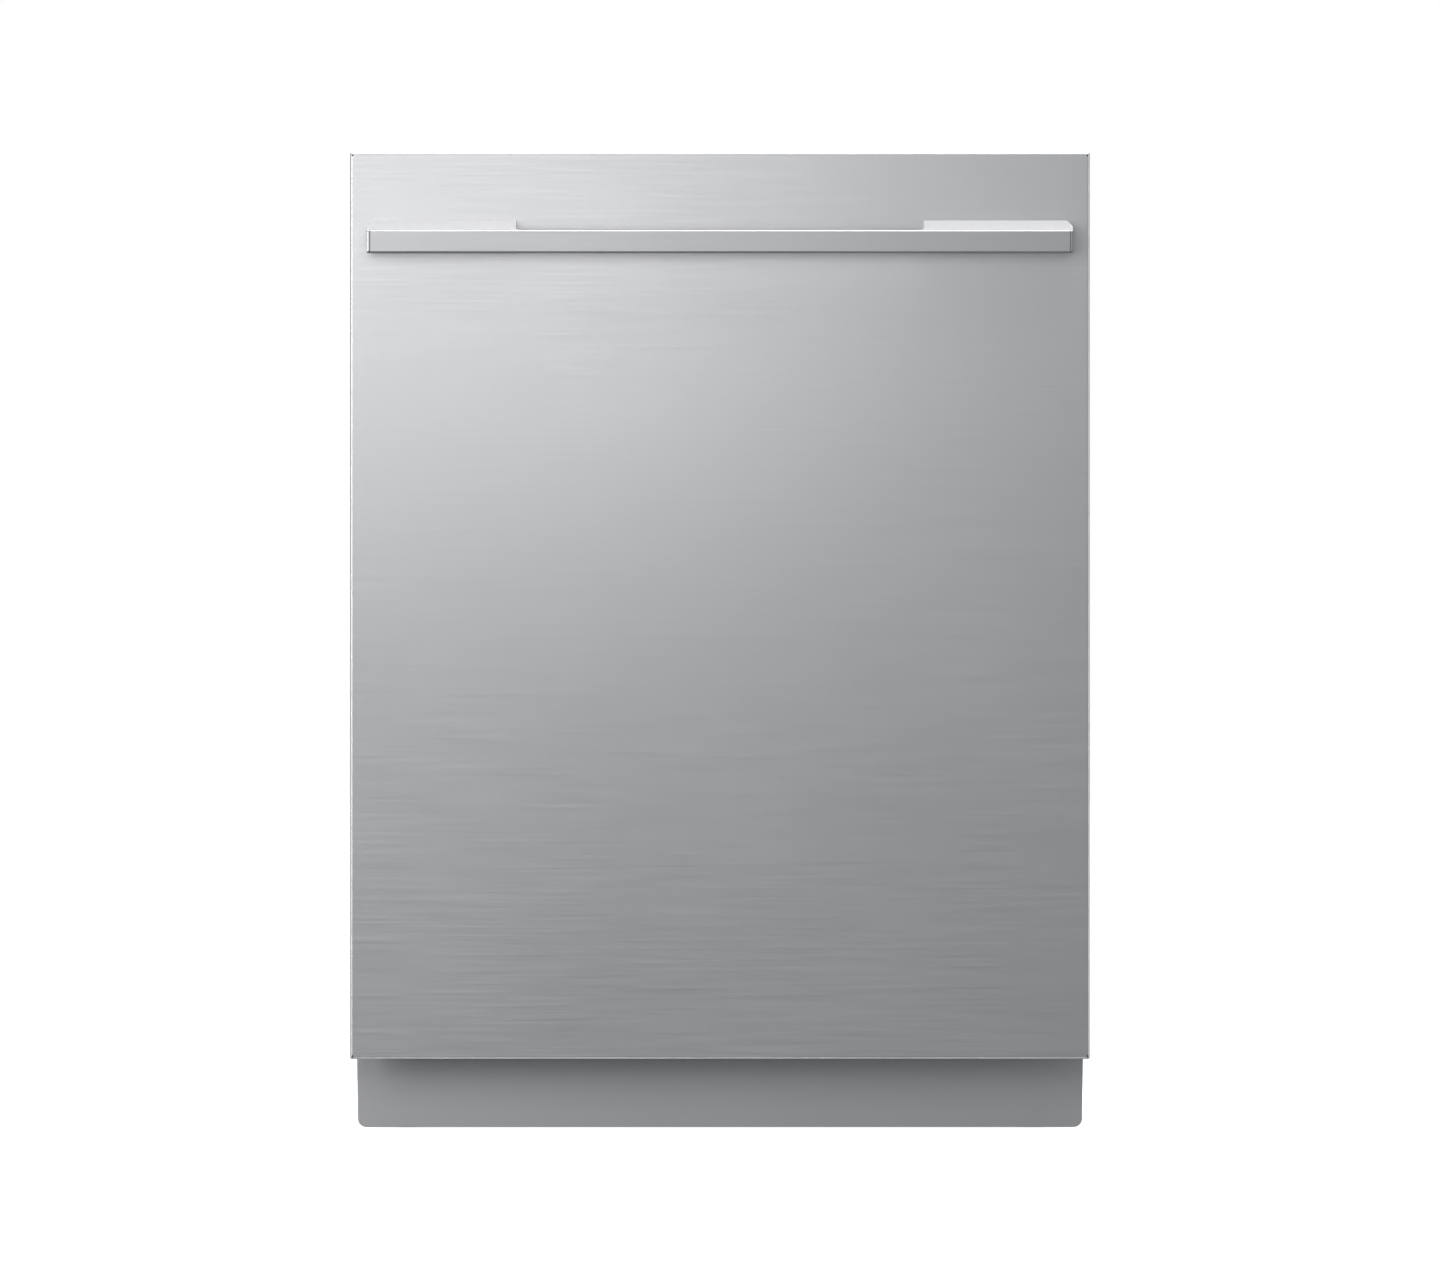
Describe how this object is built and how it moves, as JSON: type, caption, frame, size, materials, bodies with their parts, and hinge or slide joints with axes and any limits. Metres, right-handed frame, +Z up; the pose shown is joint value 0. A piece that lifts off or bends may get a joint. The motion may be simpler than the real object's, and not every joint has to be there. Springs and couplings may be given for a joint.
{
  "type": "built-in dishwasher",
  "caption": "Built-in dishwasher with a flat brushed-steel door, a full-width bar handle, a grey kick plate, wire racks and spray arms in a steel tub.",
  "frame": {"origin": "on the floor under the middle of the object's box, with the legs screwed right in", "axes": "+Z up; the door and handle face -Y; +X to the right as seen from the front"},
  "size_m": [0.606, 0.67, 0.8],
  "materials": {
    "brushed_stainless": "fine horizontal brushing, satin",
    "tub_stainless": "smooth cold-rolled sheet",
    "galvanised_steel": "dull zinc with a faint spangle",
    "spring_steel": "oiled spring wire",
    "runner_steel": "drawn stainless",
    "kick_paint": "satin grey",
    "black_plastic": "fine moulded texture",
    "grey_plastic": "moulded polypropylene",
    "rack_nylon": "nylon powder coat on steel wire",
    "rubber_seal": "matt extruded rubber",
    "insulation_felt": "needled felt"
  },
  "bodies": {
    "cabinet": {"base_tray": "galvanised_steel", "kick_plate": "kick_paint", "side_frame_left": "galvanised_steel", "side_frame_right": "galvanised_steel", "front_crossbar": "galvanised_steel", "rear_crossbar": "galvanised_steel", "top_crossbar": "galvanised_steel", "countertop_bracket_left": "galvanised_steel", "countertop_bracket_right": "galvanised_steel", "hinge_bracket_left": "galvanised_steel", "hinge_bracket_right": "galvanised_steel", "counterbalance_spring_left": "spring_steel", "counterbalance_spring_right": "spring_steel", "tub_wrapper": "tub_stainless", "tub_back": "tub_stainless", "tub_floor": "tub_stainless", "tub_gasket": "rubber_seal", "insulation_blanket": "insulation_felt", "sump": "grey_plastic", "circulation_pump": "black_plastic", "drain_pump": "black_plastic", "inlet_valve": "grey_plastic", "junction_box": "galvanised_steel", "heating_element": "tub_stainless", "supply_duct": "grey_plastic", "upper_rail_left": "galvanised_steel", "upper_rail_right": "galvanised_steel"},
    "door": {"door_panel": "brushed_stainless", "door_liner": "tub_stainless", "door_insulation": "insulation_felt", "control_panel": "black_plastic", "handle_bar": "brushed_stainless", "handle_bracket_left": "brushed_stainless", "handle_bracket_right": "brushed_stainless", "dispenser_body": "grey_plastic", "hinge_arm_left": "galvanised_steel", "hinge_arm_right": "galvanised_steel"},
    "upper_rack": {"upper_rack": "rack_nylon"},
    "lower_rack": {"lower_rack": "rack_nylon", "silverware_basket": "grey_plastic"},
    "power_button": {"power_button": "grey_plastic"},
    "cycle_button": {"cycle_button": "grey_plastic"},
    "start_button": {"start_button": "grey_plastic"},
    "latch_claw": {"latch_claw": "galvanised_steel"},
    "detergent_lid": {"detergent_lid": "grey_plastic"},
    "rinse_aid_cap": {"rinse_aid_cap": "grey_plastic"},
    "middle_spray_arm": {"middle_spray_arm": "grey_plastic"},
    "upper_runner_left": {"upper_runner_left": "runner_steel"},
    "upper_runner_right": {"upper_runner_right": "runner_steel"},
    "wheel_front_left": {"wheel_front_left": "grey_plastic"},
    "wheel_front_right": {"wheel_front_right": "grey_plastic"},
    "wheel_rear_left": {"wheel_rear_left": "grey_plastic"},
    "wheel_rear_right": {"wheel_rear_right": "grey_plastic"},
    "lower_spray_arm": {"lower_spray_arm": "grey_plastic"},
    "top_spray_arm": {"top_spray_arm": "grey_plastic"},
    "filter_cup": {"filter_cup": "grey_plastic"},
    "leg_front_left": {"leg_front_left": "grey_plastic"},
    "leg_front_right": {"leg_front_right": "grey_plastic"},
    "leg_rear_left": {"leg_rear_left": "grey_plastic"},
    "leg_rear_right": {"leg_rear_right": "grey_plastic"}
  },
  "joints": [
    {"name": "door_hinge", "type": "hinge", "parent": "cabinet", "child": "door", "pos_m": [0, -0.268, 0.0922], "axis": [1, 0, 0], "range_deg": [0, 90], "stiffness_Nm_per_rad": 24},
    {"name": "upper_rack_slide", "type": "slide", "parent": "cabinet", "child": "upper_rack", "axis": [0, -1, 0], "range_m": [0, 0.42]},
    {"name": "lower_rack_slide", "type": "slide", "parent": "cabinet", "child": "lower_rack", "axis": [0, -1, 0], "range_m": [0, 0.12]},
    {"name": "upper_runner_left_slide", "type": "slide", "parent": "cabinet", "child": "upper_runner_left", "axis": [0, -1, 0], "range_m": [0, 0.21]},
    {"name": "wheel_front_left_spin", "type": "hinge", "parent": "lower_rack", "child": "wheel_front_left", "pos_m": [-0.2545, -0.143, 0.1452], "axis": [1, 0, 0], "range_deg": [0, 382]},
    {"name": "wheel_rear_left_spin", "type": "hinge", "parent": "lower_rack", "child": "wheel_rear_left", "pos_m": [-0.2545, 0.238, 0.1452], "axis": [1, 0, 0], "range_deg": [0, 382]},
    {"name": "upper_runner_right_slide", "type": "slide", "parent": "cabinet", "child": "upper_runner_right", "axis": [0, -1, 0], "range_m": [0, 0.21]},
    {"name": "wheel_front_right_spin", "type": "hinge", "parent": "lower_rack", "child": "wheel_front_right", "pos_m": [0.2545, -0.143, 0.1452], "axis": [1, 0, 0], "range_deg": [0, 382]},
    {"name": "wheel_rear_right_spin", "type": "hinge", "parent": "lower_rack", "child": "wheel_rear_right", "pos_m": [0.2545, 0.238, 0.1452], "axis": [1, 0, 0], "range_deg": [0, 382]},
    {"name": "lower_arm_spin", "type": "hinge", "parent": "cabinet", "child": "lower_spray_arm", "pos_m": [0, 0.0465, 0.1402], "axis": [0, 0, 1], "continuous": true},
    {"name": "middle_arm_spin", "type": "hinge", "parent": "upper_rack", "child": "middle_spray_arm", "pos_m": [0, 0.0465, 0.3982], "axis": [0, 0, 1], "continuous": true},
    {"name": "top_arm_spin", "type": "hinge", "parent": "cabinet", "child": "top_spray_arm", "pos_m": [0, 0.0465, 0.74], "axis": [0, 0, 1], "continuous": true},
    {"name": "filter_lock", "type": "hinge", "parent": "cabinet", "child": "filter_cup", "pos_m": [0.11, 0.1065, 0.108], "axis": [0, 0, 1], "range_deg": [0, 90]},
    {"name": "detergent_lid_slide", "type": "slide", "parent": "door", "child": "detergent_lid", "axis": [0, 0, -1], "range_m": [0, 0.068]},
    {"name": "rinse_cap_turn", "type": "hinge", "parent": "door", "child": "rinse_aid_cap", "pos_m": [0.025, -0.2235, 0.4286], "axis": [0, 1, 0], "range_deg": [0, 90]},
    {"name": "latch_claw_pivot", "type": "hinge", "parent": "door", "child": "latch_claw", "pos_m": [0, -0.255, 0.7875], "axis": [1, 0, 0], "range_deg": [0, 8], "stiffness_Nm_per_rad": 0.5},
    {"name": "power_button_press", "type": "slide", "parent": "door", "child": "power_button", "axis": [0, 0, -1], "range_m": [0, 0.0015], "stiffness_N_per_m": 300},
    {"name": "cycle_button_press", "type": "slide", "parent": "door", "child": "cycle_button", "axis": [0, 0, -1], "range_m": [0, 0.0015], "stiffness_N_per_m": 300},
    {"name": "start_button_press", "type": "slide", "parent": "door", "child": "start_button", "axis": [0, 0, -1], "range_m": [0, 0.0015], "stiffness_N_per_m": 300},
    {"name": "leg_front_left_screw", "type": "slide", "parent": "cabinet", "child": "leg_front_left", "axis": [0, 0, -1], "range_m": [0, 0.065]},
    {"name": "leg_front_right_screw", "type": "slide", "parent": "cabinet", "child": "leg_front_right", "axis": [0, 0, -1], "range_m": [0, 0.065]},
    {"name": "leg_rear_left_screw", "type": "slide", "parent": "cabinet", "child": "leg_rear_left", "axis": [0, 0, -1], "range_m": [0, 0.065]},
    {"name": "leg_rear_right_screw", "type": "slide", "parent": "cabinet", "child": "leg_rear_right", "axis": [0, 0, -1], "range_m": [0, 0.065]}
  ],
  "couplings": [
    {"joint": "upper_rack_slide", "follows": "door_hinge", "m_per_rad": 0.2673},
    {"joint": "lower_rack_slide", "follows": "door_hinge", "m_per_rad": 0.0763},
    {"joint": "upper_runner_left_slide", "follows": "door_hinge", "m_per_rad": 0.13365},
    {"joint": "wheel_front_left_spin", "follows": "door_hinge", "ratio": 4.2389},
    {"joint": "wheel_rear_left_spin", "follows": "door_hinge", "ratio": 4.2389},
    {"joint": "upper_runner_right_slide", "follows": "door_hinge", "m_per_rad": 0.13365},
    {"joint": "wheel_front_right_spin", "follows": "door_hinge", "ratio": 4.2389},
    {"joint": "wheel_rear_right_spin", "follows": "door_hinge", "ratio": 4.2389}
  ]
}
